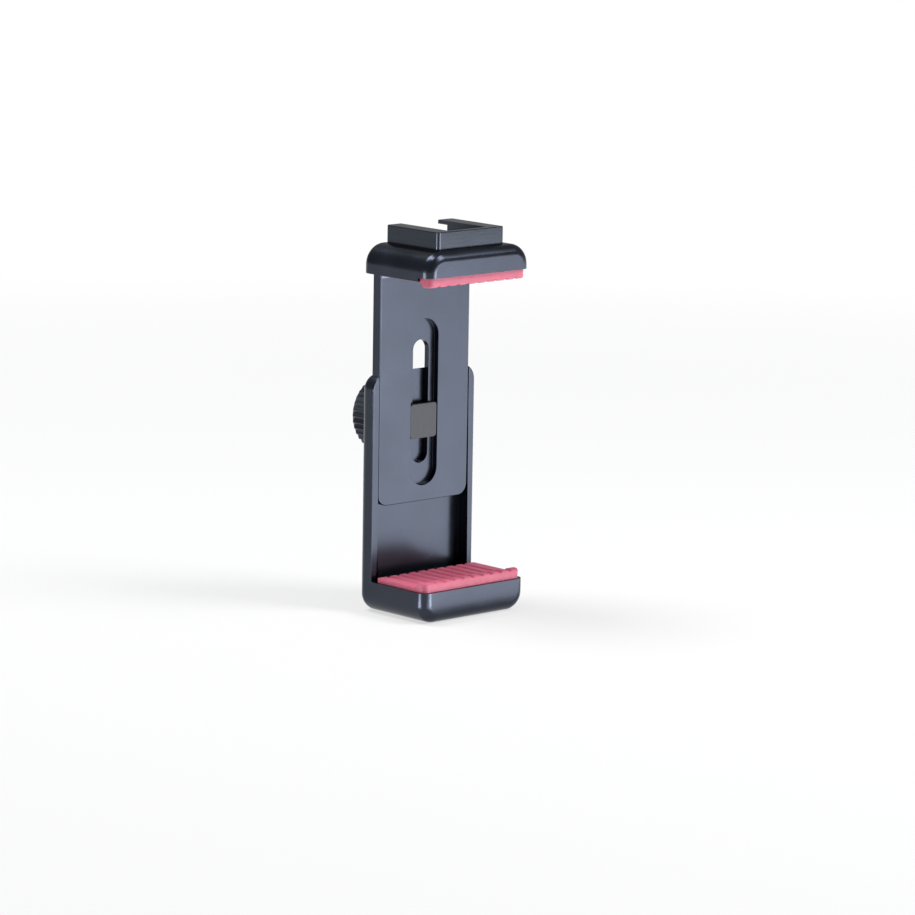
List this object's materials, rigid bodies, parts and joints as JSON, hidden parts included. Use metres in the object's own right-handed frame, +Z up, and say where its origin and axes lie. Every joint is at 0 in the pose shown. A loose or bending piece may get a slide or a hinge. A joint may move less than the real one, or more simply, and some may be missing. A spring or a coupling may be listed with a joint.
{
  "type": "tripod phone mount adapter",
  "caption": "Metal phone clamp with a sliding upper jaw, ribbed coral silicone pads, a rear lock knob, a tripod socket below and an accessory shoe on top.",
  "frame": {"origin": "centre of the tripod socket's mouth in the lower jaw's bottom face", "axes": "+X across the clamp, +Y from the open front towards the lock knob at the back, +Z up from the tripod socket to the accessory shoe"},
  "size_m": [0.034, 0.0369, 0.0966],
  "materials": {
    "jaw_aluminium": "gloss black anodised",
    "shoe_aluminium": "satin black anodised",
    "knob_aluminium": "satin black anodised",
    "silicone": "moulded coral silicone",
    "bright_steel": "turned stainless",
    "black_steel": "black oxide",
    "washer_plastic": "acetal"
  },
  "bodies": {
    "lower_clamp": {"lower_jaw": "jaw_aluminium", "lower_pad": "silicone", "tripod_socket": "bright_steel", "clamp_bolt": "black_steel", "friction_washer": "washer_plastic", "stop_ring": "black_steel"},
    "sliding_jaw": {"upper_jaw": "jaw_aluminium", "upper_pad": "silicone", "cold_shoe": "shoe_aluminium", "shoe_screw_1": "black_steel", "shoe_screw_2": "black_steel", "shoe_screw_3": "black_steel", "shoe_screw_4": "black_steel"},
    "knob_washer": {"thrust_washer": "bright_steel"},
    "lock_knob": {"knob": "knob_aluminium", "knob_insert": "bright_steel", "knob_cap": "knob_aluminium"}
  },
  "joints": [
    {"name": "jaw_slide", "type": "slide", "parent": "lower_clamp", "child": "sliding_jaw", "axis": [0, 0, 1], "range_m": [-0.0177, 0.0083]},
    {"name": "washer_travel", "type": "slide", "parent": "lower_clamp", "child": "knob_washer", "axis": [0, 1, 0], "range_m": [0, 0.0012]},
    {"name": "knob_turn", "type": "hinge", "parent": "knob_washer", "child": "lock_knob", "pos_m": [0, 0.0162, 0.04685], "axis": [0, 1, 0], "range_deg": [0, 540]}
  ],
  "couplings": [
    {"joint": "knob_turn", "follows": "washer_travel", "rad_per_m": 7854}
  ]
}
